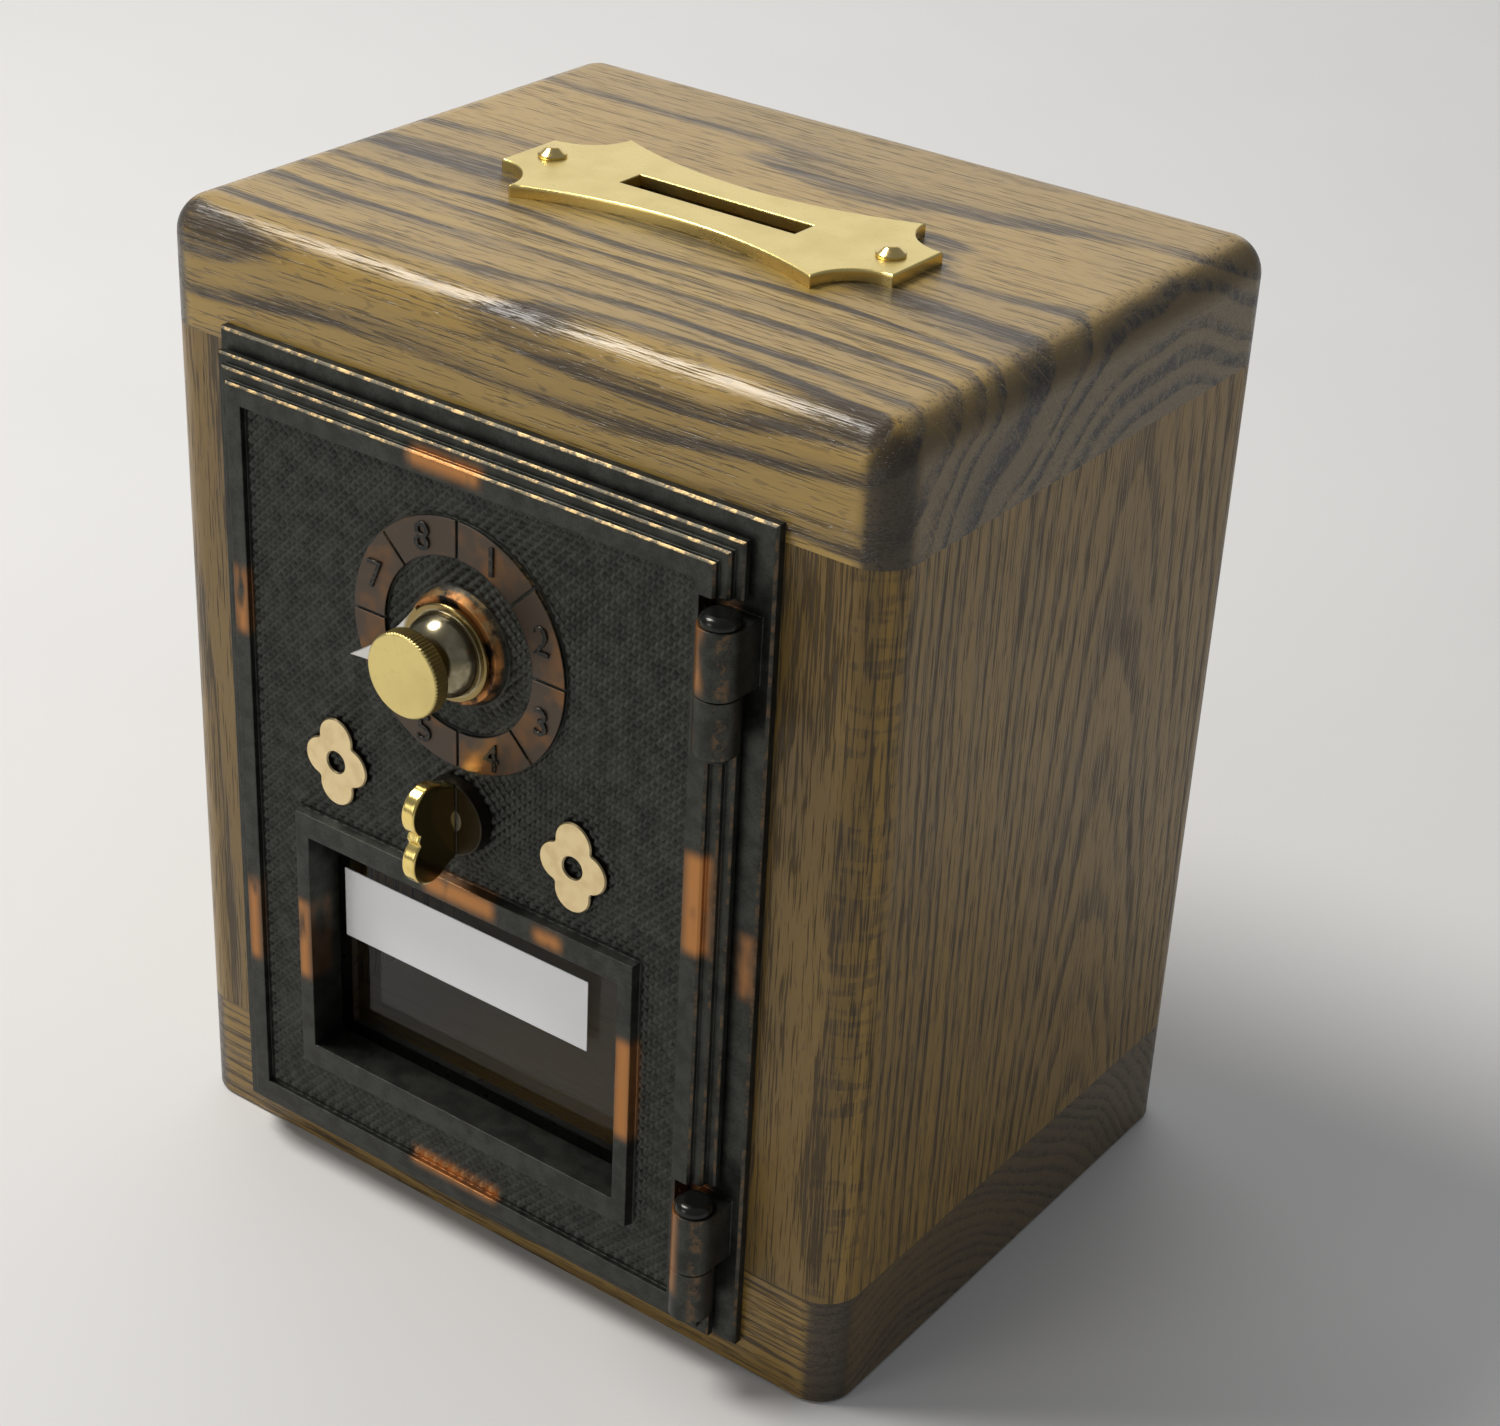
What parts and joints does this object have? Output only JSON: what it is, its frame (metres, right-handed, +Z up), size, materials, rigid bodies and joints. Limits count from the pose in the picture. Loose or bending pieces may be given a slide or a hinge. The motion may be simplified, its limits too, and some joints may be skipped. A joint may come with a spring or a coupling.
{
  "type": "donation box",
  "caption": "Small oak collection box with a coin slot in a brass plate on its lid and an oxidised bronze door with a numbered dial lock, a thumb turn and a glass window.",
  "frame": {"origin": "centre of the underside of the oak case, on the surface it stands on", "axes": "+X to the right seen from the front, -Y towards the front (the door side), +Z up"},
  "size_m": [0.121, 0.1085, 0.1507],
  "materials": {
    "oak_top": "stained oak, grain across the lid, satin lacquer",
    "oak_bottom": "stained oak, grain along the front edge, satin lacquer",
    "oak_sides": "stained oak, upright grain, satin lacquer",
    "oak_back": "stained oak, upright grain, satin lacquer",
    "beech": "plain",
    "plate_brass": "satin face with polished edges",
    "brass_screws": "plain",
    "polished_brass": "polished",
    "ornament_brass": "satin, dark sides",
    "lock_brass": "dull",
    "dark_bronze": "black-brown oxidised bronze, semi-gloss, worn to copper at the edges",
    "worn_nickel": "worn nickel over brass",
    "steel": "dull steel",
    "lock_case_iron": "dark cast",
    "glass": "clear",
    "white_card": "matt white"
  },
  "bodies": {
    "case": {"top_board": "oak_top", "bottom_board": "oak_bottom", "left_side": "oak_sides", "right_side": "oak_sides", "back_panel": "oak_back", "back_screws": "brass_screws", "dowels": "beech", "slot_plate": "plate_brass", "plate_pins": "polished_brass", "door_frame": "dark_bronze", "frame_screws": "steel", "hinge_pins": "dark_bronze"},
    "door": {"door_casting": "dark_bronze", "window_glass": "glass", "window_label": "white_card", "glass_retainer": "steel", "retainer_screws": "steel", "left_ornament": "ornament_brass", "right_ornament": "ornament_brass", "wheel_post": "lock_brass", "wheel_spacers": "steel", "lock_case": "lock_case_iron", "lock_cover": "lock_brass", "cover_screws": "steel", "bolt_guide": "steel", "guide_rivets": "steel"},
    "dial": {"dial_knob": "worn_nickel", "dial_grip": "polished_brass", "dial_spindle": "steel", "drive_wheel": "lock_brass"},
    "wheel_1": {"tumbler_wheel_1": "lock_brass"},
    "wheel_2": {"tumbler_wheel_2": "lock_brass"},
    "wheel_3": {"tumbler_wheel_3": "lock_brass"},
    "thumb_turn": {"thumb_knob": "polished_brass", "thumb_spindle": "steel", "lock_cam": "steel"},
    "bolt": {"lock_bolt": "lock_brass"}
  },
  "joints": [
    {"name": "door_hinge", "type": "hinge", "parent": "case", "child": "door", "pos_m": [0.0406, -0.0526, 0.068], "axis": [0, 0, 1], "range_deg": [0, 120]},
    {"name": "dial_spin", "type": "hinge", "parent": "door", "child": "dial", "pos_m": [-0.0029, -0.05, 0.1002], "axis": [0, 1, 0], "continuous": true},
    {"name": "wheel_1_spin", "type": "hinge", "parent": "door", "child": "wheel_1", "pos_m": [-0.0029, -0.045, 0.1002], "axis": [0, 1, 0], "continuous": true},
    {"name": "wheel_2_spin", "type": "hinge", "parent": "door", "child": "wheel_2", "pos_m": [-0.0029, -0.045, 0.1002], "axis": [0, 1, 0], "continuous": true},
    {"name": "wheel_3_spin", "type": "hinge", "parent": "door", "child": "wheel_3", "pos_m": [-0.0029, -0.045, 0.1002], "axis": [0, 1, 0], "continuous": true},
    {"name": "thumb_spin", "type": "hinge", "parent": "door", "child": "thumb_turn", "pos_m": [-0.0029, -0.05, 0.0746], "axis": [0, 1, 0], "range_deg": [0, 90]},
    {"name": "bolt_slide", "type": "slide", "parent": "door", "child": "bolt", "axis": [-1, 0, 0], "range_m": [0, 0.00567]}
  ],
  "couplings": [
    {"joint": "wheel_1_spin", "follows": "dial_spin", "ratio": 1},
    {"joint": "wheel_2_spin", "follows": "dial_spin", "ratio": 1},
    {"joint": "wheel_3_spin", "follows": "dial_spin", "ratio": 1},
    {"joint": "bolt_slide", "follows": "thumb_spin", "m_per_rad": 0.0036013}
  ]
}
